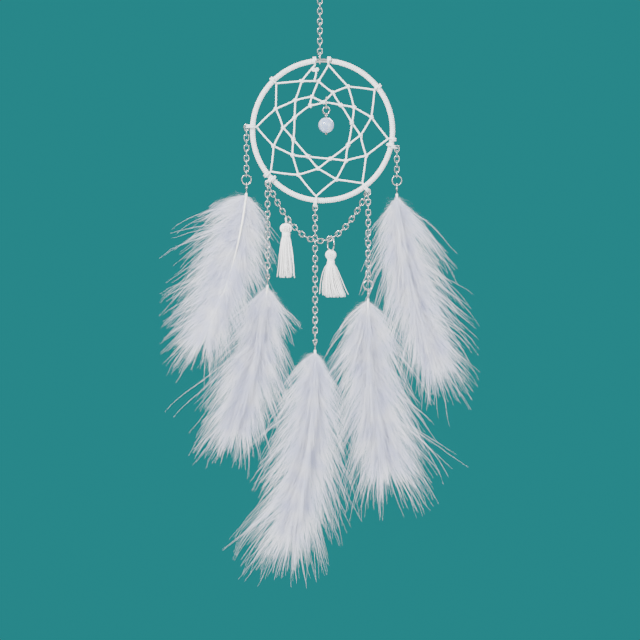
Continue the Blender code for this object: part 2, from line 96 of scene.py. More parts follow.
# a round bar along a path; its UV goes once round in u, and v is the length in millimetres
def tube(path, radius, sides=8, closed=False):
    path = np.asarray([tuple(p) for p in path], dtype=float)
    count = len(path)
    radii = np.broadcast_to(np.asarray(radius, dtype=float), (count,))
    ahead = np.roll(path, -1, 0) - np.roll(path, 1, 0)
    if not closed:
        ahead[0], ahead[-1] = path[1] - path[0], path[-1] - path[-2]
    ahead /= np.linalg.norm(ahead, axis=1)[:, None]
    normals = np.zeros_like(path)
    seed = np.array((0.0, 1.0, 0.0)) if abs(ahead[0][1]) < 0.9 else np.array((1.0, 0.0, 0.0))
    normal = seed - ahead[0] * seed.dot(ahead[0])
    for i in range(count):
        normal = normal - ahead[i] * normal.dot(ahead[i])
        normal /= np.linalg.norm(normal)
        normals[i] = normal
    binormals = np.cross(ahead, normals)
    spin = 0.0
    if closed:  # spread the frame's leftover turn along the ring
        last = normals[-1] - ahead[0] * normals[-1].dot(ahead[0])
        spin = math.atan2(last.dot(binormals[0]), last.dot(normals[0]))
    angles = np.arange(sides) * 2 * math.pi / sides
    twist = -spin * np.arange(count)[:, None] / count + angles[None, :]
    ring = np.cos(twist)[..., None] * normals[:, None] + np.sin(twist)[..., None] * binormals[:, None]
    points = (path[:, None] + ring * radii[:, None, None]).reshape(-1, 3)
    lengths = np.concatenate([[0], np.cumsum(np.linalg.norm(np.diff(path, axis=0), axis=1))]) / mm
    rows = count if closed else count - 1
    i, j = np.meshgrid(np.arange(rows), np.arange(sides), indexing="ij")
    i, j = i.ravel(), j.ravel()
    k, m = (i + 1) % count, (j + 1) % sides
    faces = np.stack([i * sides + j, i * sides + m, k * sides + m, k * sides + j], 1)
    step = lengths[1] if closed else 0
    v0, v1 = lengths[i], np.where(k == 0, lengths[-1] + step, lengths[k])
    u0, u1 = j / sides, (j + 1) / sides
    uv = np.stack([np.stack([u0, v0], 1), np.stack([u1, v0], 1), np.stack([u1, v1], 1),
                   np.stack([u0, v1], 1)], 1)
    if closed:
        return [(points, faces, uv)]
    tips = np.stack([path[0] - ahead[0] * radii[0] * 0.4, path[-1] + ahead[-1] * radii[-1] * 0.4])
    points = np.concatenate([points, tips])
    first, last = count * sides, count * sides + 1
    side = np.arange(sides)
    after = (side + 1) % sides
    end = (count - 1) * sides
    caps = np.concatenate([np.stack([after, side, np.full(sides, first)], 1),
                           np.stack([end + side, end + after, np.full(sides, last)], 1)])
    capUv = np.zeros((len(caps), 3, 2))
    capUv[sides:, :, 1] = lengths[-1]
    return [(points, faces, uv), (points, caps, capUv)]


def joined(name, tubes):  # tubes to one mesh; a tube's caps share its vertices
    vertices, faces, uvs, base = [], [], [], 0
    for bar in tubes:
        vertices.append(bar[0][0])
        for points, polygons, corners in bar:
            faces.extend((polygons + base).tolist())
            uvs.append(corners.reshape(-1, 2))
        base += len(bar[0][0])
    mesh = bpy.data.meshes.new(name)
    mesh.from_pydata(np.concatenate(vertices).tolist(), [], faces)
    mesh.uv_layers.new(name="along").data.foreach_set("uv", np.concatenate(uvs).astype(np.float32).ravel())
    mesh.shade_smooth()
    return mesh


def finishPiece(name, mesh, material, body, replaced=()):
    if material and not mesh.materials:
        mesh.materials.append(material)
    piece = bpy.data.objects.new(name, mesh)
    bpy.context.scene.collection.objects.link(piece)
    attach(piece, body)
    if replaced:
        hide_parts(*replaced)
    return piece


def tubePiece(name, tubes, material, body, replaced=()):
    finishPiece(name, joined(name, tubes), material, body, replaced)


def grow(name, mesh, tree, values):  # runs a Geometry Nodes tree once and keeps its plain mesh
    seedPiece = bpy.data.objects.new(name + "_seed", mesh)
    bpy.context.scene.collection.objects.link(seedPiece)
    modifier = seedPiece.modifiers.new("Grow", "NODES")
    modifier.node_group = tree
    for socket in tree.interface.items_tree:
        if socket.item_type == "SOCKET" and socket.in_out == "INPUT" and socket.name in values:
            modifier[socket.identifier] = values[socket.name]
    bpy.context.view_layer.update()
    grown = bpy.data.meshes.new_from_object(seedPiece.evaluated_get(bpy.context.evaluated_depsgraph_get()))
    grown.name = name
    seedPiece.modifiers.remove(modifier)
    bpy.data.objects.remove(seedPiece)
    return grown


def newTree(name, sizes, counts=()):  # sizes and counts become named inputs, and each tree takes a material
    inputs = {**dict.fromkeys(sizes, "Float"), **dict.fromkeys(counts, "Int"), "Material": "Material"}
    tree = bpy.data.node_groups.new(name, "GeometryNodeTree")
    tree.interface.new_socket(name="Geometry", in_out="INPUT", socket_type="NodeSocketGeometry")
    for label, kind in inputs.items():
        tree.interface.new_socket(name=label, in_out="INPUT", socket_type="NodeSocket" + kind)
    tree.interface.new_socket(name="Geometry", in_out="OUTPUT", socket_type="NodeSocketGeometry")
    return tree, addNode(tree, "NodeGroupInput").outputs


def endTree(tree, geometry, material):  # every tree ends the same way
    real = addNode(tree, "GeometryNodeRealizeInstances", links={0: geometry})
    smooth = addNode(tree, "GeometryNodeSetShadeSmooth", links={"Geometry": real.outputs[0]})
    painted = addNode(tree, "GeometryNodeSetMaterial",
                      links={"Geometry": smooth.outputs[0], "Material": material})
    addNode(tree, "NodeGroupOutput", links={0: painted.outputs[0]})


# materials

def newMaterial(name):
    material = bpy.data.materials.new(name)
    material.use_nodes = True
    return material, material.node_tree, material.node_tree.nodes["Principled BSDF"]


def noiseBump(tree, shader, size, strength, depth, coordinate="Object"):
    place = addNode(tree, "ShaderNodeTexCoord").outputs[coordinate]
    noise = addNode(tree, "ShaderNodeTexNoise", links={"Vector": place, "Scale": 1 / size, "Detail": 3.0})
    bump = addNode(tree, "ShaderNodeBump", links={"Height": noise.outputs[0], "Strength": strength,
                                                  "Distance": depth})
    tree.links.new(bump.outputs[0], shader.inputs["Normal"])
    return noise.outputs[0]


def mixColours(tree, factor, first, second, low=0.35, high=0.65):
    ramp = addNode(tree, "ShaderNodeValToRGB", links={0: factor})
    ramp.color_ramp.elements[0].position = low
    ramp.color_ramp.elements[1].position = high
    ramp.color_ramp.elements[0].color = linear(first)
    ramp.color_ramp.elements[1].color = linear(second)
    return ramp.outputs[0]


# rhodium-bright plated steel wire: sharp highlights, faint drawing marks and handling haze
def silverPlate():
    material, tree, shader = newMaterial("platedSteelWire")
    height = noiseBump(tree, shader, 0.6 * mm, 0.25, 0.02 * mm)
    tree.links.new(mixColours(tree, height, "#a2a3a1", "#cbccca"), shader.inputs["Base Color"])
    shader.inputs["Metallic"].default_value = 1.0
    spread = addNode(tree, "ShaderNodeMapRange", links={0: height, "To Min": 0.1, "To Max": 0.22})
    tree.links.new(spread.outputs[0], shader.inputs["Roughness"])
    return material


def agedHead():  # the bead pin's cut end, tarnished darker than the plate
    material, tree, shader = newMaterial("tarnishedPinHead")
    height = noiseBump(tree, shader, 0.3 * mm, 0.3, 0.03 * mm)
    tree.links.new(mixColours(tree, height, "#4c4843", "#8a857c"), shader.inputs["Base Color"])
    shader.inputs["Metallic"].default_value = 1.0
    shader.inputs["Roughness"].default_value = 0.38
    return material


# twisted fibre: a spiral ridge for each ply, drawn from the cord's own UV; the same ridge paints the grooves
# between plies darker, a painted shade, and fuzz noise adds random tone
def twistedCord(name, dark, light, plies, lay, roughness, sheen):
    material, tree, shader = newMaterial(name)
    uv = addNode(tree, "ShaderNodeUVMap", {"uv_map": "along"})
    split = addNode(tree, "ShaderNodeSeparateXYZ", links={0: uv.outputs[0]})
    around = addNode(tree, "ShaderNodeMath", {"operation": "MULTIPLY"},
                     {0: split.outputs[0], 1: float(plies)})
    along = addNode(tree, "ShaderNodeMath", {"operation": "DIVIDE"}, {0: split.outputs[1], 1: lay})
    phase = addNode(tree, "ShaderNodeMath", {"operation": "ADD"}, {0: around.outputs[0], 1: along.outputs[0]})
    whole = addNode(tree, "ShaderNodeMath", {"operation": "MULTIPLY"}, {0: phase.outputs[0], 1: math.pi})
    wave = addNode(tree, "ShaderNodeMath", {"operation": "SINE"}, {0: whole.outputs[0]})
    ridge = addNode(tree, "ShaderNodeMath", {"operation": "ABSOLUTE"}, {0: wave.outputs[0]})
    place = addNode(tree, "ShaderNodeTexCoord").outputs["Object"]
    fuzz = addNode(tree, "ShaderNodeTexNoise",
                   links={"Vector": place, "Scale": 1 / (0.25 * mm), "Detail": 2.0})
    height = addNode(tree, "ShaderNodeMath", {"operation": "MULTIPLY_ADD"},
                     {0: fuzz.outputs[0], 1: 0.5, 2: ridge.outputs[0]})
    bump = addNode(tree, "ShaderNodeBump", links={"Height": height.outputs[0], "Strength": 0.6,
                                                  "Distance": 0.08 * mm})
    tree.links.new(bump.outputs[0], shader.inputs["Normal"])
    # colour: painted shade darkens the grooves between the plies; the fuzz noise adds random tone
    tree.links.new(mixColours(tree, height.outputs[0], dark, light, 0.1, 0.8), shader.inputs["Base Color"])
    shader.inputs["Roughness"].default_value = roughness
    shader.inputs["Sheen Weight"].default_value = sheen
    shader.inputs["Sheen Roughness"].default_value = 0.4
    return material


def satinThread():  # bright rayon thread of the hoop's wrap: a soft shine along each turn
    material, tree, shader = newMaterial("rayonWrapThread")
    height = noiseBump(tree, shader, 0.35 * mm, 0.35, 0.05 * mm)
    tree.links.new(mixColours(tree, height, "#dcdde0", "#f4f5f6"), shader.inputs["Base Color"])
    shader.inputs["Roughness"].default_value = 0.42
    shader.inputs["Sheen Weight"].default_value = 0.35
    shader.inputs["Sheen Roughness"].default_value = 0.3
    return material


def downFibre(name, dark, light, glow):  # marabou down: white keratin threads that pass and scatter light
    material, tree, shader = newMaterial(name)
    place = addNode(tree, "ShaderNodeTexCoord").outputs["Object"]
    noise = addNode(tree, "ShaderNodeTexNoise", links={"Vector": place, "Scale": 1 / (9 * mm), "Detail": 3.0})
    colour = mixColours(tree, noise.outputs[0], dark, light)
    tree.links.new(colour, shader.inputs["Base Color"])
    shader.inputs["Roughness"].default_value = 0.55
    shader.inputs["Specular IOR Level"].default_value = 0.35
    through = addNode(tree, "ShaderNodeBsdfTranslucent", links={"Color": colour})
    both = addNode(tree, "ShaderNodeMixShader", links={0: glow, 1: shader.outputs[0], 2: through.outputs[0]})
    tree.links.new(both.outputs[0], tree.nodes["Material Output"].inputs["Surface"])
    return material


def quillHorn():  # clear-white horn of the shaft: glossier than the down, slightly warm
    material, tree, shader = newMaterial("quillHorn")
    height = noiseBump(tree, shader, 1.5 * mm, 0.2, 0.03 * mm)
    tree.links.new(mixColours(tree, height, "#e9e8e2", "#fbfbf8"), shader.inputs["Base Color"])
    shader.inputs["Roughness"].default_value = 0.32
    shader.inputs["Subsurface Weight"].default_value = 0.25
    shader.inputs["Subsurface Radius"].default_value = (0.6 * mm, 0.5 * mm, 0.4 * mm)
    shader.inputs["Subsurface Scale"].default_value = 1.0
    return material


def opalGlass():  # opalite: milky glass that scatters blue at the rim and glows pale inside
    material, tree, shader = newMaterial("opaliteGlass")
    place = addNode(tree, "ShaderNodeTexCoord").outputs["Object"]
    cloud = addNode(tree, "ShaderNodeTexNoise",
                    links={"Vector": place, "Scale": 1 / (3.5 * mm), "Detail": 2.0,
                                                       "Distortion": 0.6})
    tree.links.new(mixColours(tree, cloud.outputs[0], "#93acd6", "#cfdcf0"), shader.inputs["Base Color"])
    shader.inputs["Roughness"].default_value = 0.06
    shader.inputs["IOR"].default_value = 1.45
    shader.inputs["Transmission Weight"].default_value = 0.25
    shader.inputs["Subsurface Weight"].default_value = 0.35
    shader.inputs["Subsurface Radius"].default_value = (1.2 * mm, 1.8 * mm, 2.6 * mm)
    shader.inputs["Subsurface Scale"].default_value = 1.0
    shader.inputs["Coat Weight"].default_value = 0.5
    shader.inputs["Coat Roughness"].default_value = 0.03
    return material


silver = silverPlate()
tarnish = agedHead()
waxedCord = twistedCord("waxedPolyesterCord", "#cfd2d4", "#f2f4f5", 3, 1.1, 0.45, 0.2)
cottonThread = twistedCord("mercerisedCotton", "#eceae7", "#ffffff", 2, 0.9, 0.7, 0.5)
wrapThread = satinThread()
down = downFibre("marabouDown", "#e9ecfa", "#fafbff", 0.45)
quillFinish = quillHorn()
opal = opalGlass()
print("materials ready")

hoopCentre = boxCentre("hoop_wire")
hoopBar = 0.95 * mm  # the bare wire's own radius
hoopRadius = (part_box("hoop_wire")[1][0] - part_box("hoop_wire")[0][0]) / 2 - hoopBar


def onHoop(degrees, radius, y=0.0):
    angle = math.radians(degrees)
    return hoopCentre + Vector((radius * math.cos(angle), y, radius * math.sin(angle)))


# camera, light and floor

def camera():
    settings = {"width": 332.8 * mm, "distance": 1.7, "across": -1.3 * mm, "down": -98.5 * mm}
    lens = bpy.data.cameras.new("camera")
    lens.sensor_width = 36.0
    lens.lens = 36.0 * settings["distance"] / settings["width"]
    lens.clip_end = 20.0
    eye = bpy.data.objects.new("camera", lens)
    eye.location = hoopCentre + Vector((settings["across"], -settings["distance"], settings["down"]))
    eye.rotation_euler = (math.pi / 2, 0, 0)
    bpy.context.scene.collection.objects.link(eye)
    bpy.context.scene.camera = eye


def light(name, place, size, power, colour="#ffffff"):
    data = bpy.data.lights.new(name, "AREA")
    data.shape = "DISK"
    data.size = size
    data.energy = power
    data.color = linear(colour)[:3]
    lamp = bpy.data.objects.new(name, data)
    lamp.location = place
    aim = hoopCentre + Vector((0, 0, -0.09)) - Vector(place)
    lamp.rotation_euler = aim.to_track_quat("-Z", "Y").to_euler()
    bpy.context.scene.collection.objects.link(lamp)


def studio():
    light("key", (-0.55, -0.8, 0.45), 0.4, 33.0, "#fffcfa")
    light("fill", (0.8, -0.7, -0.1), 0.8, 8.0, "#f4f6ff")
    light("rim", (0.35, 0.7, 0.35), 0.4, 8.0, "#f8faff")
    world = bpy.data.worlds.new("studio")
    bpy.context.scene.world = world
    world.use_nodes = True
    tree = world.node_tree
    tree.nodes.clear()
    seen = addNode(tree, "ShaderNodeBackground", links={"Color": linear("#22888a"), "Strength": 1.0})
    towards = addNode(tree, "ShaderNodeSeparateXYZ",
                      links={0: addNode(tree, "ShaderNodeTexCoord").outputs["Generated"]})
    height = addNode(tree, "ShaderNodeMapRange",
                     links={0: towards.outputs[2], "From Min": -1.0, "From Max": 1.0})
    # dark below gives metal its contrast
    sky = mixColours(tree, height.outputs[0], "#16292b", "#ffffff", 0.38, 0.62)
    lit = addNode(tree, "ShaderNodeBackground", links={"Color": sky, "Strength": 1.4})
    path = addNode(tree, "ShaderNodeLightPath")
    both = addNode(tree, "ShaderNodeMixShader", links={0: path.outputs["Is Camera Ray"], 1: lit.outputs[0],
                                                       2: seen.outputs[0]})
    addNode(tree, "ShaderNodeOutputWorld", links={0: both.outputs[0]})
    bpy.ops.mesh.primitive_plane_add(size=1.4, location=(0, 0, hoopCentre.z - 0.43))
    floor = bpy.context.object
    floor.name = "floor"
    paper, paperTree, shader = newMaterial("palePaperFloor")
    height = noiseBump(paperTree, shader, 4 * mm, 0.1, 0.2 * mm)
    paperTree.links.new(mixColours(paperTree, height, "#dcdeda", "#e6e8e4"), shader.inputs["Base Color"])
    shader.inputs["Roughness"].default_value = 0.8
    floor.data.materials.append(paper)


camera()
studio()
print("camera and light ready")


# chains and rings: one tree places the wire loops of the chain links; the rings are bent wire tubes

wireLoop = {"halfWidth": 1.17 * mm, "halfLength": 1.67 * mm, "wire": 0.28 * mm, "pitch": 2.66 * mm}


def wireLoopTree():
    tree, given = newTree("wireLoops", ("Width", "Length", "Wire"))
    along = addNode(tree, "GeometryNodeInputNamedAttribute", {"data_type": "FLOAT_VECTOR"}, {"Name": "along"})
    flat = addNode(tree, "GeometryNodeInputNamedAttribute", {"data_type": "FLOAT_VECTOR"}, {"Name": "flat"})
    turn = addNode(tree, "FunctionNodeAxesToRotation", {"primary_axis": "Y", "secondary_axis": "X"},
                   {0: along.outputs[0], 1: flat.outputs[0]})
    outline = addNode(tree, "GeometryNodeCurvePrimitiveQuadrilateral",
                      links={"Width": given["Width"], "Height": given["Length"]})
    half = addNode(tree, "ShaderNodeMath", {"operation": "MULTIPLY"}, {0: given["Width"], 1: 0.4999})
    rounded = addNode(tree, "GeometryNodeFilletCurve", {"mode": "POLY"},
                      {"Curve": outline.outputs[0], "Count": 4, "Radius": half.outputs[0],
                       "Limit Radius": True})
    section = addNode(tree, "GeometryNodeCurvePrimitiveCircle", {"mode": "RADIUS"},
                      {"Resolution": 7, "Radius": given["Wire"]})
    loop = addNode(tree, "GeometryNodeCurveToMesh", links={"Curve": rounded.outputs[0],
                                                           "Profile Curve": section.outputs[0]})
    copies = addNode(tree, "GeometryNodeInstanceOnPoints",
                     links={"Points": given["Geometry"], "Instance": loop.outputs[0],
                            "Rotation": turn.outputs[0]})
    endTree(tree, copies.outputs[0], given["Material"])
    return tree


loopTree = wireLoopTree()


def wireLoops(name, places, width, length, wire):  # places: (centre, long direction, direction across)
    mesh = bpy.data.meshes.new(name + "_places")
    mesh.from_pydata([tuple(place[0]) for place in places], [], [])
    for label, index in (("along", 1), ("flat", 2)):
        layer = mesh.attributes.new(label, "FLOAT_VECTOR", "POINT")
        layer.data.foreach_set("vector", [v for place in places for v in place[index]])
    return grow(name, mesh, loopTree, {"Width": 2 * width, "Length": 2 * length, "Wire": wire,
                                       "Material": silver})


def hangingLinks(node, firstAcross):  # links down the middle of a straight chain's box
    low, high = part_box(node)
    middle = boxCentre(node)
    count = round((high[2] - low[2] - 2 * wireLoop["halfLength"]) / wireLoop["pitch"]) + 1
    sides = [Vector(firstAcross), Vector((0, 0, 1)).cross(Vector(firstAcross))]
    top = middle.z + (count - 1) / 2 * wireLoop["pitch"]
    return [(Vector((middle.x, middle.y, top - i * wireLoop["pitch"])), Vector((0, 0, 1)), sides[i % 2])
            for i in range(count)]


def chainPiece(name, places, body, nodes):
    mesh = wireLoops(name, places, wireLoop["halfWidth"], wireLoop["halfLength"], wireLoop["wire"])
    finishPiece(name, mesh, silver, body, nodes)


# a jump ring is bent wire: its two cut ends nearly meet, slightly out of line
def cutRing(centre, radius, wire, normal, gapAt=0.0, gap=6.0):
    normal = Vector(normal).normalized()
    across = normal.orthogonal().normalized()
    up = normal.cross(across)
    path = []
    steps = 40
    for i in range(steps + 1):
        angle = math.radians(gapAt + gap / 2 + (360 - gap) * i / steps)
        slip = normal * (0.12 * wire * (2 * i / steps - 1))
        path.append(centre + across * (radius * math.cos(angle)) + up * (radius * math.sin(angle)) + slip)
    return tube(path, wire, 10)


def thinAxis(node):
    low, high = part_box(node)
    sizes = [high[i] - low[i] for i in range(3)]
    axis = [0.0, 0.0, 0.0]
    axis[sizes.index(min(sizes))] = 1.0
    return axis


# radius, wire radius, normal, then where the cut is and how wide, in degrees
rings = {"hanging_ring": (5.6 * mm, 0.6 * mm, (0, 1, 0), 35.0, 2.0),
         "hoop_ring": (2.8 * mm, 0.4 * mm, (1, 0, 0), 120.0, 4.0)}


def suspension():
    ring = cutRing(boxCentre("hanging_ring"), *rings["hanging_ring"])
    tubePiece("hangingRing", [ring], silver, "hanger", ["hanging_ring"])
    for part in ("upper", "lower"):
        node = part + "_chain"
        chainPiece(part + "Chain", hangingLinks(node, (0, 1, 0)), node, [node])
    ring = cutRing(boxCentre("hoop_ring"), *rings["hoop_ring"])
    tubePiece("hoopRing", [ring], silver, "hoop", ["hoop_ring"])
    print("suspension done")


# the hoop: a bare wire ring, and one thread wound round it

hoopWrap = {"start": 97.5, "sweep": 345.0, "turns": 214, "wind": 1.13 * mm, "thread": 0.24 * mm, "width": 2.4}


def windingTree():
    tree, given = newTree("woundThread", ("Radius", "Wind", "Turns", "Start", "Sweep", "Thread", "Flatness"),
                          ("Steps",))
    arc = addNode(tree, "GeometryNodeCurveArc", {"mode": "RADIUS"},
                  {"Resolution": given["Steps"], "Radius": given["Radius"], "Start Angle": given["Start"],
                   "Sweep Angle": given["Sweep"]})
    place = addNode(tree, "GeometryNodeInputPosition")
    outward = addNode(tree, "ShaderNodeVectorMath", {"operation": "NORMALIZE"}, {0: place.outputs[0]})
    factor = addNode(tree, "GeometryNodeSplineParameter")
    turned = addNode(tree, "ShaderNodeMath", {"operation": "MULTIPLY"},
                     {0: factor.outputs["Factor"], 1: given["Turns"]})
    angle = addNode(tree, "ShaderNodeMath", {"operation": "MULTIPLY"}, {0: turned.outputs[0], 1: 2 * math.pi})
    cosine = addNode(tree, "ShaderNodeMath", {"operation": "COSINE"}, {0: angle.outputs[0]})
    sine = addNode(tree, "ShaderNodeMath", {"operation": "SINE"}, {0: angle.outputs[0]})
    inOut = addNode(tree, "ShaderNodeVectorMath", {"operation": "SCALE"},
                    {0: outward.outputs[0], "Scale": cosine.outputs[0]})
    upDown = addNode(tree, "ShaderNodeCombineXYZ", links={"Z": sine.outputs[0]})
    both = addNode(tree, "ShaderNodeVectorMath", {"operation": "ADD"},
                   {0: inOut.outputs[0], 1: upDown.outputs[0]})
    sized = addNode(tree, "ShaderNodeVectorMath", {"operation": "SCALE"}, {0: both.outputs[0],
                                                                          "Scale": given["Wind"]})
    wound = addNode(tree, "GeometryNodeSetPosition",
                    links={"Geometry": arc.outputs[0], "Offset": sized.outputs[0]})
    facing = addNode(tree, "GeometryNodeSetCurveNormal", {"mode": "FREE"},
                     {"Curve": wound.outputs[0], "Normal": both.outputs[0]})
    section = addNode(tree, "GeometryNodeCurvePrimitiveCircle", {"mode": "RADIUS"},
                      {"Resolution": 6, "Radius": given["Thread"]})
    stretch = addNode(tree, "ShaderNodeCombineXYZ", links={"X": 1.0, "Y": given["Flatness"], "Z": 1.0})
    ribbon = addNode(tree, "GeometryNodeTransform", links={"Geometry": section.outputs[0],
                                                           "Scale": stretch.outputs[0]})
    thread = addNode(tree, "GeometryNodeCurveToMesh", links={"Curve": facing.outputs[0],
                                                             "Profile Curve": ribbon.outputs[0],
                                                             "Fill Caps": True})
    stand = addNode(tree, "GeometryNodeTransform",
                    links={"Geometry": thread.outputs[0], "Translation": tuple(hoopCentre)})
    stand.inputs["Rotation"].default_value = (math.pi / 2, 0, 0)
    endTree(tree, stand.outputs[0], given["Material"])
    return tree


def hoop():
    steps = 72
    circle = [onHoop(360 * i / steps, hoopRadius) for i in range(steps)]
    wire = tube(circle, hoopBar, 12, closed=True)
    tubePiece("hoopWire", [wire], silver, "hoop", ["hoop_wire"])
    seed = bpy.data.meshes.new("seed")
    mesh = grow("hoopWrap", seed, windingTree(),
                {"Radius": hoopRadius, "Wind": hoopWrap["wind"], "Turns": float(hoopWrap["turns"]),
                 "Start": math.radians(hoopWrap["start"]), "Sweep": math.radians(hoopWrap["sweep"]),
                 "Thread": hoopWrap["thread"], "Flatness": hoopWrap["width"], "Steps": hoopWrap["turns"] * 14,
                 "Material": wrapThread})
    finishPiece("hoopWrap", mesh, wrapThread, "hoop", ["hoop_wrap"])
    print("hoop done", len(mesh.polygons))


# the web: one cord hitched round the hoop, then knot by knot inwards

webSettings = {"hitches": (96.3, 134.4, 176.9, 218.3, 264.4, 307.0, 352.8, 398.0, 444.8), "knots": 36,
               "rowStarts": (0, 9, 17, 26, 35), "tension": (1.0, 0.7, 0.55, 0.4, 0.4), "beadKnot": 34,
               "beadPull": 3.0 * mm, "cord": 0.43 * mm, "loop": 2.05 * mm, "slackLoop": 2.65 * mm,
               "slackShift": 0.6 * mm, "slackHitches": (2, 4, 5), "tightLoop": 1.88 * mm,
               "knotTurn": 0.74 * mm}


def webRuns():  # pairs of knots joined by a straight run, with the row that sets its pull
    for i in range(webSettings["knots"] - 1):
        row = sum(i >= start for start in webSettings["rowStarts"]) - 1
        hitch = i + len(webSettings["hitches"])
        if hitch < webSettings["knots"]:
            yield i, hitch, row
            yield hitch, i + 1, row
        else:
            yield i, i + 1, row


def webPlaces():  # the knots settle where the pulls of their runs balance
    count = webSettings["knots"]
    stiffness, load = np.zeros((count, count)), np.zeros((count, 2))
    for first, second, row in webRuns():
        for here, there in ((first, second), (second, first)):
            stiffness[here, here] += webSettings["tension"][row]
            stiffness[here, there] -= webSettings["tension"][row]
    load[webSettings["beadKnot"]] = (0.0, -webSettings["beadPull"])
    for i, degrees in enumerate(webSettings["hitches"]):
        stiffness[i] = 0.0
        stiffness[i, i] = 1.0
        edge = onHoop(degrees, hoopRadius - webSettings["loop"]) - hoopCentre
        load[i] = (edge.x, edge.z)
    return [hoopCentre + Vector((float(x), 0.0, float(z))) for x, z in np.linalg.solve(stiffness, load)]


# turns of cord wound round an axis: the helix starts and ends at the angles given, in turns
def coil(centre, axis, radius, turns, pitch, start=0.0, steps=20):
    axis = Vector(axis).normalized()
    across = Vector((0, 1, 0)) if abs(axis.y) < 0.9 else Vector((1, 0, 0))
    across = (across - axis * across.dot(axis)).normalized()
    up = axis.cross(across)
    count = int(steps * turns)
    path = []
    for i in range(count + 1):
        share = i / count
        angle = 2 * math.pi * (start + turns * share)
        path.append(centre + across * (radius * math.cos(angle)) + up * (radius * math.sin(angle))
                    + axis * (pitch * turns * (share - 0.5)))
    return path


def hoopCoil(degrees, radius, shift, turns=2.0):  # cord turns round the wrapped hoop
    tangent = onHoop(degrees + 90, 1.0) - hoopCentre
    return coil(onHoop(degrees, hoopRadius + shift), tangent, radius, turns, 0.92 * mm, 0.5)


def web(places):
    cord = webSettings["cord"]
    tubes = []
    rng = np.random.default_rng(11)
    hooped = len(webSettings["hitches"])
    for a, b, _ in webRuns():
        start, end = places[a], places[b]
        side = Vector((0, 0.28 * mm * (1 if (a + b) % 2 else -1), 0))
        bow = (end - start).cross(Vector((0, 1, 0))).normalized() * rng.uniform(-0.25, 0.25) * mm
        path = [start.lerp(end, t) + (side + bow) * math.sin(math.pi * t) for t in np.linspace(0, 1, 8)]
        tubes.append(tube(path, cord, 8))
    for i in range(hooped, webSettings["knots"]):  # each hitch: one turn and a bit round the run it hangs on
        neighbours = [places[b if a == i else a] for a, b, row in webRuns()
                      if i in (a, b) and row == min(r for c, d, r in webRuns() if i in (c, d))]
        along = (neighbours[0] - neighbours[-1]).normalized()
        turn = coil(places[i], along, webSettings["knotTurn"], 1.8, 0.8 * mm, rng.uniform(0, 1), 14)
        tubes.append(tube(turn, cord * 0.95, 7))
    for i, degrees in enumerate(webSettings["hitches"]):
        radius, shift = webSettings["tightLoop"], 0.0
        if i in webSettings["slackHitches"]:  # a chain's top link hangs in this one
            radius, shift = webSettings["slackLoop"], webSettings["slackShift"]
        tubes.append(tube(hoopCoil(degrees, radius, shift, 1.3), cord, 8))
    tubes.append(tube(coil(places[-1], (0, 0, 1), 0.55 * mm, 2.2, 0.5 * mm), cord, 7))  # tie-off
    tubePiece("webCord", tubes, waxedCord, "hoop", ["web_cord"])

    start = places[0] + Vector((0, -1.9 * mm, -2.6 * mm))
    loops = []
    for side in (-1, 1):
        turn = coil(start + Vector((side * 0.85 * mm, 0, 0)), (side * 0.35, 1, 0.1), 0.62 * mm, 1.9,
                    0.55 * mm,
                    0.2 * side)
        loops.append(tube(turn, cord, 8))
    tail = [start + Vector(p) * mm for p in ((0.1, -0.1, -0.4), (0.5, -0.3, -1.6), (0.35, -0.1, -3.0),
                                             (-0.1, 0.0, -4.2), (-0.25, 0.0, -5.4))]
    loops.append(tube(tail, [cord, cord, cord, cord, cord * 1.35], 8))
    tubePiece("startKnot", loops, waxedCord, "hoop", ["start_knot"])
    for node, degrees in (("right_hang_loop", 347.0), ("lower_left_hang_loop", 223.4)):
        turns = [tube(hoopCoil(degrees, webSettings["slackLoop"], webSettings["slackShift"], 1.1), cord, 8),
                 tube(hoopCoil(degrees + 1.1, webSettings["loop"] - 0.1 * mm, 0.0, 1.1), cord, 8)]
        tubePiece(node, turns, waxedCord, "hoop", [node])
    print("web done")


# the bead drop

beadSettings = {"radius": 4.0 * mm, "bore": 0.6 * mm, "eye": 1.75 * mm, "wire": 0.33 * mm,
                "link": (1.85 * mm, 2.95 * mm), "pinEnd": 0.55 * mm}


def eyePin(eye, normal, radius, wire, end, wraps=2):  # an eye bent at the top of a straight pin
    normal = Vector(normal)
    across = normal.cross(Vector((0, 0, 1))).normalized()
    path = []
    for i in range(27):  # the eye starts beside the stem and comes back to it
        angle = math.radians(-78 + 345 * i / 26)
        path.append(eye + across * (radius * math.cos(angle)) + Vector((0, 0, radius * math.sin(angle)))
                    + normal * (0.1 * mm * (1 - i / 26)))
    path += [eye - Vector((0, 0, radius + wire * 1.1)), eye - Vector((0, 0, radius + wire * 2.5)), end]
    neck = coil(eye - Vector((0, 0, radius + wire * 2.2)), (0, 0, 1), wire * 1.75, wraps, wire * 1.9)
    return [tube(path, wire, 8)] + ([tube(neck, wire * 0.85, 8)] if wraps else [])


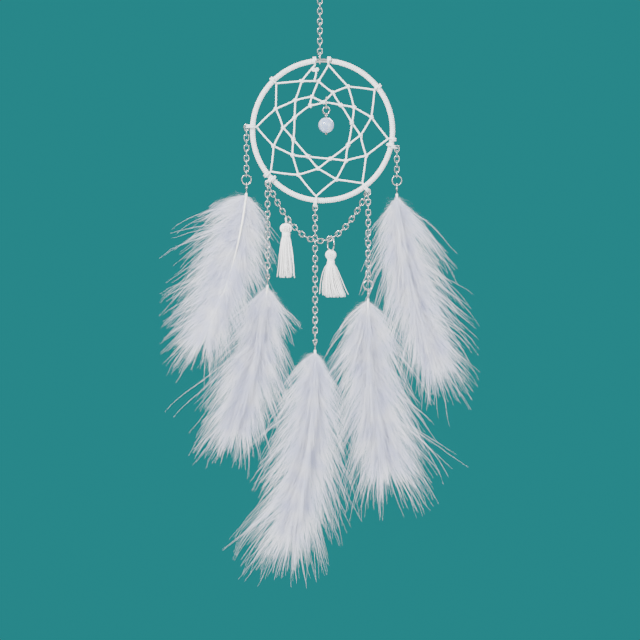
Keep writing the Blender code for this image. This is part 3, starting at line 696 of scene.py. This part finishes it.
def bead():
    centre = boxCentre("bead")
    eye = jointPlace("bead_sway") - Vector((0, 0, beadSettings["eye"]))
    wireLoopMesh = wireLoops("beadLink", [(boxCentre("bead_link"), Vector((0, 0, 1)), Vector((0, 1, 0)))],
                             *beadSettings["link"], beadSettings["wire"])
    finishPiece("beadLink", wireLoopMesh, silver, "bead_hanger", ["bead_link"])
    below = centre - Vector((0, 0, beadSettings["radius"] + beadSettings["pinEnd"]))
    pin = eyePin(eye, (0, 1, 0), beadSettings["eye"], beadSettings["wire"], below)
    tubePiece("beadPin", pin, silver, "bead", ["bead_pin"])
    heights = np.array((0.32, 0.3, 0.1, -0.12, -0.3, -0.34)) * mm
    head = tube([below + Vector((0, 0, float(h))) for h in heights],
                np.array((0.3, 0.62, 0.75, 0.72, 0.5, 0.2)) * mm, 14)
    tubePiece("beadPinEnd", [head], tarnish, "bead")
    radius, bore = beadSettings["radius"], beadSettings["bore"]
    mouth = math.asin(bore / radius)  # the outline runs down the outside and back up through the bore
    outline = [(radius * math.sin(a), radius * math.cos(a)) for a in np.linspace(mouth, math.pi - mouth, 30)]
    outline += [(0.92 * bore, -0.97 * radius), (0.9 * bore, 0.97 * radius)]
    around = 44
    points = [(centre.x + r * math.cos(2 * math.pi * j / around),
               centre.y + r * math.sin(2 * math.pi * j / around),
               centre.z + z) for r, z in outline for j in range(around)]
    faces = []
    for i in range(len(outline)):
        here, there = i * around, (i + 1) % len(outline) * around
        for j in range(around):
            k = (j + 1) % around
            faces.append((here + j, there + j, there + k, here + k))
    mesh = bpy.data.meshes.new("bead")
    mesh.from_pydata(points, [], faces)
    mesh.shade_smooth()
    finishPiece("bead", mesh, opal, "bead", ["bead"])
    print("bead done")


# feather strands

# reach: barb lengths in mm on the left and right, at five places from quill to tip;
# open: the barbs' angle to the shaft on each side, at the quill and at the tip
# the left feather differs: no down falls over its quill
strandUsual = {"quill": (0.6, 0.42, 0.1), "cover": 1.0, "forward": 0.1}
strands = {
    "left": {"layer": -5.7, "tip": (-26.5, -86.0), "bow": 5.0, "seed": 3, "depth": (6, 38),
             "quill": (0.62, 0.52, 0.12), "cover": 0.0, "forward": 1.9,
             "reach": ((32, 46, 42, 30, 22), (26, 34, 34, 28, 22)), "open": ((76, 38), (58, 50))},
    "right": {"layer": -5.7, "tip": (24.5, -99.0), "bow": -6.0, "seed": 5, "depth": (-24, 34),
              "reach": ((34, 44, 42, 34, 22), (38, 50, 46, 34, 22)), "open": ((40, 36), (50, 38))},
    "lower_left": {"layer": 5.7, "tip": (-19.5, -82.5), "bow": 3.0, "seed": 8, "depth": (-34, 24),
                   "reach": ((40, 54, 46, 34, 24), (32, 42, 38, 30, 24)), "open": ((48, 38), (46, 38))},
    "lower_right": {"layer": 5.7, "tip": (11.5, -98.0), "bow": -4.0, "seed": 13, "depth": (-34, 24),
                    "reach": ((38, 52, 48, 36, 26), (42, 60, 54, 38, 26)), "open": ((50, 36), (46, 42))},
    "centre": {"layer": -5.7, "tip": (-16.5, -108.0), "bow": 5.0, "seed": 21, "depth": (-24, 34),
               "reach": ((38, 56, 54, 40, 24), (36, 50, 50, 36, 24)), "open": ((50, 38), (46, 34))},
}
featherSettings = {"ringRadius": 2.45 * mm, "wire": 0.33 * mm, "bend": 0.28 * mm, "pinEye": 0.95 * mm,
                   "pinWire": 0.27 * mm, "pinDrop": 5.2 * mm, "play": 0.15 * mm, "stations": 13, "drape": 0.2,
                   "halfDepth": 12.5 * mm, "outside": 13.2 * mm, "below": 16.5 * mm, "barb": 0.085 * mm}
# each feather is two coats: long barbs that end in fine points, and soft down that fills the core
coats = {
    "Plume": {"clumps": 190, "perClump": 2, "reach": (0.5, 1.12), "gather": 0.22, "cover": 0.15,
              "length": 4.2 * mm, "width": 0.09 * mm, "spacing": 0.27 * mm, "least": 0.12, "wave": 11},
    "Fluff": {"clumps": 150, "perClump": 4, "reach": (0.3, 0.72), "gather": 0.15, "cover": 0.3,
              "length": 5.4 * mm, "width": 0.08 * mm, "spacing": 0.27 * mm, "least": 0.5, "wave": 6},
}


def smoothStep(t):
    t = min(max(t, 0.0), 1.0)
    return t * t * (3 - 2 * t)


def shaftPoint(base, strand, t):
    bow = strand["bow"] * math.sin(math.pi * t) * (1 - 0.35 * t)
    return base + Vector((strand["tip"][0] * t + bow, strand["layer"] * smoothStep(t / 0.3),
                          strand["tip"][1] * t)) * mm


def featherTree():
    tree, given = newTree("featherBarbs", ("Barb", "Spacing", "Length", "Width", "Least"), ("Seed",))
    taper = addNode(tree, "GeometryNodeInputNamedAttribute", {"data_type": "FLOAT"},
                    {"Name": "taper"}).outputs[0]
    curves = addNode(tree, "GeometryNodeMeshToCurve", links={0: given["Geometry"]})
    thin = addNode(tree, "ShaderNodeMapRange", links={0: taper, "To Min": 1.0, "To Max": 0.3})
    thickness = addNode(tree, "ShaderNodeMath", {"operation": "MULTIPLY"},
                        {0: thin.outputs[0], 1: given["Barb"]})
    section = addNode(tree, "GeometryNodeCurvePrimitiveCircle", {"mode": "RADIUS"},
                      {"Resolution": 3, "Radius": 1.0})
    stems = addNode(tree, "GeometryNodeCurveToMesh",
                    links={"Curve": curves.outputs[0], "Scale": thickness.outputs[0],
                                                            "Profile Curve": section.outputs[0]})
    rooted = addNode(tree, "GeometryNodeCurveToPoints", {"mode": "LENGTH"}, {"Curve": curves.outputs[0],
                                                                             "Length": given["Spacing"]})
    turn = addNode(tree, "FunctionNodeRandomValue", {"data_type": "FLOAT"}, {2: 0.0, 3: 2 * math.pi,
                                                                             "Seed": given["Seed"]})
    spread = addNode(tree, "FunctionNodeRandomValue", {"data_type": "FLOAT"},
                    {2: math.radians(20), 3: math.radians(55), "Seed": 101})
    closing = addNode(tree, "ShaderNodeMapRange", links={0: taper, "To Min": 1.0, "To Max": 0.45})
    tilt = addNode(tree, "ShaderNodeMath", {"operation": "MULTIPLY"},
                   {0: spread.outputs[1], 1: closing.outputs[0]})
    facing = addNode(tree, "FunctionNodeAlignRotationToVector", {"axis": "Z"},
                     {"Vector": rooted.outputs["Tangent"]})
    about = addNode(tree, "FunctionNodeAxisAngleToRotation",
                    links={"Axis": (0, 0, 1), "Angle": turn.outputs[1]})
    lean = addNode(tree, "FunctionNodeAxisAngleToRotation",
                   links={"Axis": (0, 1, 0), "Angle": tilt.outputs[0]})
    spun = addNode(tree, "FunctionNodeRotateRotation", {"rotation_space": "LOCAL"},
                   {0: facing.outputs[0], 1: about.outputs[0]})
    leaned = addNode(tree, "FunctionNodeRotateRotation", {"rotation_space": "LOCAL"},
                     {0: spun.outputs[0], 1: lean.outputs[0]})
    varied = addNode(tree, "FunctionNodeRandomValue", {"data_type": "FLOAT"}, {2: 0.55, 3: 1.15, "Seed": 202})
    short = addNode(tree, "ShaderNodeMapRange",
                    links={0: taper, "From Min": 0.15, "From Max": 0.95, "To Min": 1.0,
                                                         "To Max": given["Least"]})
    scale = addNode(tree, "ShaderNodeMath", {"operation": "MULTIPLY"},
                    {0: varied.outputs[1], 1: short.outputs[0]})
    triangle = addNode(tree, "GeometryNodeMeshCircle", {"fill_type": "NGON"}, {"Vertices": 3, "Radius": 1.0})
    slim = addNode(tree, "ShaderNodeCombineXYZ", links={"X": given["Length"], "Y": given["Width"], "Z": 1.0})
    hair = addNode(tree, "GeometryNodeTransform", links={"Geometry": triangle.outputs[0],
                                                         "Translation": (0.5, 0.0, 0.0)})
    upright = addNode(tree, "GeometryNodeTransform",
                      links={"Geometry": hair.outputs[0], "Scale": slim.outputs[0]})
    raised = addNode(tree, "GeometryNodeTransform", links={"Geometry": upright.outputs[0]})
    raised.inputs["Rotation"].default_value = (0, -math.pi / 2, 0)
    barbules = addNode(tree, "GeometryNodeInstanceOnPoints",
                       links={"Points": rooted.outputs["Points"], "Instance": raised.outputs[0],
                              "Rotation": leaned.outputs[0], "Scale": scale.outputs[0]})
    both = addNode(tree, "GeometryNodeJoinGeometry", links={0: stems.outputs[0]})
    tree.links.new(barbules.outputs[0], both.inputs[0])
    endTree(tree, both.outputs[0], given["Material"])
    return tree


# guide lines of the barbs: they leave the shaft at an open angle, droop, and half gather into clumps
def barbGuides(name, base, strand, coat):
    rng = np.random.default_rng(strand["seed"] + coat["clumps"])
    stations = featherSettings["stations"]
    u = np.linspace(0, 1, stations)
    lowest = np.array((cadBox[0][0] - featherSettings["outside"], cadBox[0][2] - featherSettings["below"]))
    highest = cadBox[1][0] + featherSettings["outside"]
    lines = []
    for side, reach, opening in zip((-1, 1), strand["reach"], strand["open"]):
        for c in range(coat["clumps"]):
            t = 0.005 + 0.82 * ((c + rng.uniform(0, 1)) / coat["clumps"]) ** 1.15
            opened = np.interp(t, (0, 1), opening) * rng.uniform(0.2, 1.15)
            depth = rng.uniform(*strand["depth"])
            length = np.interp(t, (0, 0.3, 0.6, 0.8, 1), reach) * rng.uniform(*coat["reach"])
            draw = rng.random()
            if draw < coat["cover"] * strand["cover"]:  # these fall over the shaft
                depth = rng.uniform(-100, -55)
                opened *= 0.5
                length *= 0.8
            elif draw > 0.95:  # and a few stray outside the outline
                length *= 1.1
                opened *= 1.25
            phase, waves = rng.uniform(0, 6.28), rng.uniform(0.5, 1.3)
            clump = []
            for b in range(coat["perClump"]):
                root = t + rng.uniform(-0.012, 0.012)
                above, below = (shaftPoint(base, strand, root + step) for step in (-0.02, 0.02))
                ahead = (below - above).normalized()
                across = np.array(Vector((-ahead.z, 0, ahead.x)).normalized()) * side
                angle = np.radians((opened + rng.uniform(-9, 9)) * (1 - 0.3 * u)
                                   + coat["wave"] * np.sin(phase + waves * 6.28 * u) * u)
                lean = math.radians(depth + rng.uniform(-10, 10))
                out = across * math.cos(lean) + np.array((0, 1, 0)) * math.sin(lean)
                aim = np.cos(angle)[:, None] * np.array(ahead) + np.sin(angle)[:, None] * out
                aim[:, 2] -= featherSettings["drape"] * u
                aim /= np.linalg.norm(aim, axis=1)[:, None]
                size = length * rng.uniform(0.8, 1.1) * mm / (stations - 1)
                start = np.array(shaftPoint(base, strand, min(root, 0.995)))
                path = np.concatenate([[np.zeros(3)], np.cumsum(aim[:-1] * size, axis=0)])
                while ((start + path)[:, (0, 2)] < lowest).any() or (start + path)[:, 0].max() > highest:
                    path *= rng.uniform(0.8, 0.95)
                clump.append(start + path)
            middle = np.mean(clump, axis=0)
            hold = (coat["gather"] * u ** 1.5)[:, None]
            for path in clump:
                path = path * (1 - hold) + middle * hold + rng.normal(0, 0.1 * mm, (stations, 3)) * u[:, None]
                layer = strand["layer"] * mm
                path[:, 1] = layer + featherSettings["halfDepth"] * np.tanh((path[:, 1] - layer)
                                                                           / featherSettings["halfDepth"])
                lines.append(path)
    mesh = bpy.data.meshes.new(name + "_guides")
    edges = [(n * stations + i, n * stations + i + 1) for n in range(len(lines)) for i in range(stations - 1)]
    mesh.from_pydata(np.concatenate(lines).tolist(), edges, [])
    layer = mesh.attributes.new("taper", "FLOAT", "POINT")
    layer.data.foreach_set("value", np.tile(u, len(lines)).astype(np.float32))
    return mesh


barbTree = featherTree()


def featherStrand(name, strand):
    chainNode, ringNode = name + "_chain", name + "_jump_ring"
    hook = jointPlace(name + "_feather_swing")
    chainPiece(name + "Chain", hangingLinks(chainNode, (1, 0, 0)), name + "_strand", [chainNode])
    odd = thinAxis(ringNode)[0] == 1.0
    ring = cutRing(hook + Vector((0, 0, featherSettings["ringRadius"])), featherSettings["ringRadius"],
                   featherSettings["bend"], thinAxis(ringNode), 70.0, 5.0)
    tubePiece(name + "JumpRing", [ring], silver, name + "_strand", [ringNode])
    eye = hook + Vector((0, 0, featherSettings["wire"] + featherSettings["play"] + featherSettings["pinWire"]
                         - featherSettings["pinEye"]))
    base = eye - Vector((0, 0, featherSettings["pinDrop"] + 2 * featherSettings["play"]))
    pin = eyePin(eye, (0, 1, 0) if odd else (1, 0, 0), featherSettings["pinEye"], featherSettings["pinWire"],
                 base + Vector((0, 0, 0.3 * mm)), 1)
    tubePiece(name + "EyePin", pin, silver, name + "_feather", [name + "_eye_pin"])
    shares = np.linspace(-0.012, 0.9, 40)
    shaft = []
    for t in shares:  # the quill stands in front of the down at the top and sinks into it lower down
        stand = strand["forward"] * mm * min(max(t, 0.0) / 0.06, 1.0) * (1 - smoothStep((t - 0.26) / 0.16))
        lift = 1.1 * mm if t < 0 else 0.0
        shaft.append(shaftPoint(base, strand, max(t, 0.0)) + Vector((0, -stand, lift)))
    quill = tube(shaft, np.interp(shares, (0, 0.1, 1), strand["quill"]) * mm, 10)
    tubePiece(name + "Quill", [quill], quillFinish, name + "_feather", [name + "_quill"])
    for label, coat in coats.items():
        barbs = grow(name + label, barbGuides(name, base, strand, coat), barbTree,
                     {"Barb": featherSettings["barb"], "Spacing": coat["spacing"],
                      "Length": coat["length"] / 1.5, "Width": coat["width"] / 1.73,
                      "Least": coat["least"], "Seed": strand["seed"], "Material": down})
        finishPiece(name + label, barbs, down, name + "_feather",
                    [name + "_plume"] if label == "Plume" else ())
        print(name, label, "done,", sum(len(polygon.vertices) - 2 for polygon in barbs.polygons), "triangles")


# the swag and its tassels

# both ends hang in cord loops at the hoop; the sag leans back behind the centre chain
swagSettings = {"links": 31, "drop": 28.0 * mm, "tilt": 12.0, "samples": 400,
                "rightEnd": (25.09, 1.2, -112.46)}


def swag():
    left, right = jointPlace("swag_swing"), Vector(swagSettings["rightEnd"]) * mm
    lean = math.tan(math.radians(swagSettings["tilt"]))
    curve = []
    for i in range(swagSettings["samples"] + 1):
        t = i / swagSettings["samples"]
        fall = swagSettings["drop"] * (1 - (2 * t - 1) ** 2)
        curve.append(left.lerp(right, t) + Vector((0, fall * lean, -fall)))
    curve = np.array([tuple(p) for p in curve])
    lengths = np.concatenate([[0], np.cumsum(np.linalg.norm(np.diff(curve, axis=0), axis=1))])
    wanted = np.linspace(0, lengths[-1], swagSettings["links"] + 1)
    ends = [Vector([float(np.interp(w, lengths, curve[:, axis])) for axis in range(3)]) for w in wanted]
    places = []
    for i, (start, end) in enumerate(zip(ends, ends[1:])):
        along = (end - start).normalized()
        flat = along.cross(Vector((0, 1, 0))).normalized()
        places.append(((start + end) / 2, along, flat if i % 2 == 0 else along.cross(flat)))
    mesh = wireLoops("swagChain", places, wireLoop["halfWidth"], wireLoop["halfLength"], wireLoop["wire"])
    finishPiece("swagChain", mesh, silver, "swag",
                ["swag_left", "swag_middle", "swag_right"])
    print("swag done")


tasselThread = 0.2 * mm
tassels = {
    "left_tassel": {"ring": 1.25 * mm, "wire": 0.3 * mm, "normal": (1, 0, 0), "head": 2.75 * mm,
                    "neck": 1.6 * mm,
                    "flare": 3.7 * mm, "squash": 0.85, "length": 22.0 * mm, "threads": 95, "seed": 4,
                    "stray": 8,
                    "lean": 0.0, "raise": 0.0},
    "right_tassel": {"ring": 3.45 * mm, "wire": 0.37 * mm, "normal": (0.87, 0.5, 0), "head": 2.5 * mm,
                     "neck": 1.5 * mm, "flare": 6.3 * mm, "squash": 0.65, "length": 17.5 * mm, "threads": 115,
                     "seed": 6, "stray": 5, "lean": 2.2 * mm, "raise": 1.1 * mm},
}


def tassel(name, sizes):
    rng = np.random.default_rng(sizes["seed"])
    ringCentre = boxCentre(name + "_loop")
    headLow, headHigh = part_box(name + "_head")
    top = Vector((ringCentre.x, ringCentre.y, headHigh[2] + sizes["raise"]))
    headDrop = headHigh[2] - headLow[2]
    bandCentre = boxCentre(name + "_binding")
    if name == "right_tassel":
        ring = cutRing(ringCentre, sizes["ring"], sizes["wire"], sizes["normal"], 100.0, 4.0)
        tubePiece("rightTasselRing", [ring], silver, name, [name + "_loop"])
    else:
        loop = tube(coil(ringCentre, sizes["normal"], sizes["ring"], 1.15, 0.5 * mm, 0.2), sizes["wire"], 8)
        tubePiece("leftTasselLoop", [loop], cottonThread, name, [name + "_loop"])
    tubes = []
    golden = math.pi * (3 - math.sqrt(5))
    for i in range(sizes["threads"]):
        share = math.sqrt((i + 0.5) / sizes["threads"])
        turn = i * golden + rng.uniform(-0.1, 0.1)
        out = Vector((math.cos(turn), math.sin(turn), 0))
        flat = Vector((out.x, out.y * sizes["squash"], 0))
        length = sizes["length"] * rng.uniform(0.9, 1.03)
        flare = sizes["flare"] * share * rng.uniform(0.9, 1.08)
        if i >= sizes["threads"] - sizes["stray"]:
            length *= rng.uniform(0.95, 1.06)
            flare *= rng.uniform(1.1, 1.45)
        neck = sizes["neck"] * share
        drift = Vector((rng.uniform(-0.5, 0.5) + sizes["lean"] / mm, rng.uniform(-0.3, 0.3), 0)) * mm
        path = [top + out * (0.25 * mm * share)]
        for k in range(1, 7):  # over the head
            a = math.pi * k / 7
            path.append(top - Vector((0, 0, headDrop * (0.5 - 0.5 * math.cos(a)))) +
                        out * (sizes["head"] * share * math.sin(a) ** 0.8 + neck * (k / 7) * 0.4))
        path.append(bandCentre + out * neck)
        for k in range(1, 8):
            s = k / 7
            wave = Vector((math.sin(5 * s + turn * 3), math.cos(4 * s + turn * 2), 0)) * (0.22 * mm * s)
            fall = wave + drift * s * s - Vector((0, 0, length * s))
            path.append(bandCentre + out * (neck * (1 - s)) + flat * (flare * s ** 0.75) + fall)
        tubes.append(tube(path, tasselThread, 5))
    tubePiece(name + "Threads", tubes, cottonThread, name, [name + "_head", name + "_skirt"])
    band = tube(coil(bandCentre, (0, 0, 1), sizes["neck"] + 0.3 * mm, 4, 0.42 * mm, steps=24), 0.24 * mm, 7)
    tubePiece(name + "Binding", [band], cottonThread, name, [name + "_binding"])
    print(name, "done")


suspension()
hoop()
knots = webPlaces()
web(knots)
bead()
for strandName, strandSettings in strands.items():
    featherStrand(strandName, {**strandUsual, **strandSettings})
swag()
for tasselName, tasselSettings in tassels.items():
    tassel(tasselName, tasselSettings)
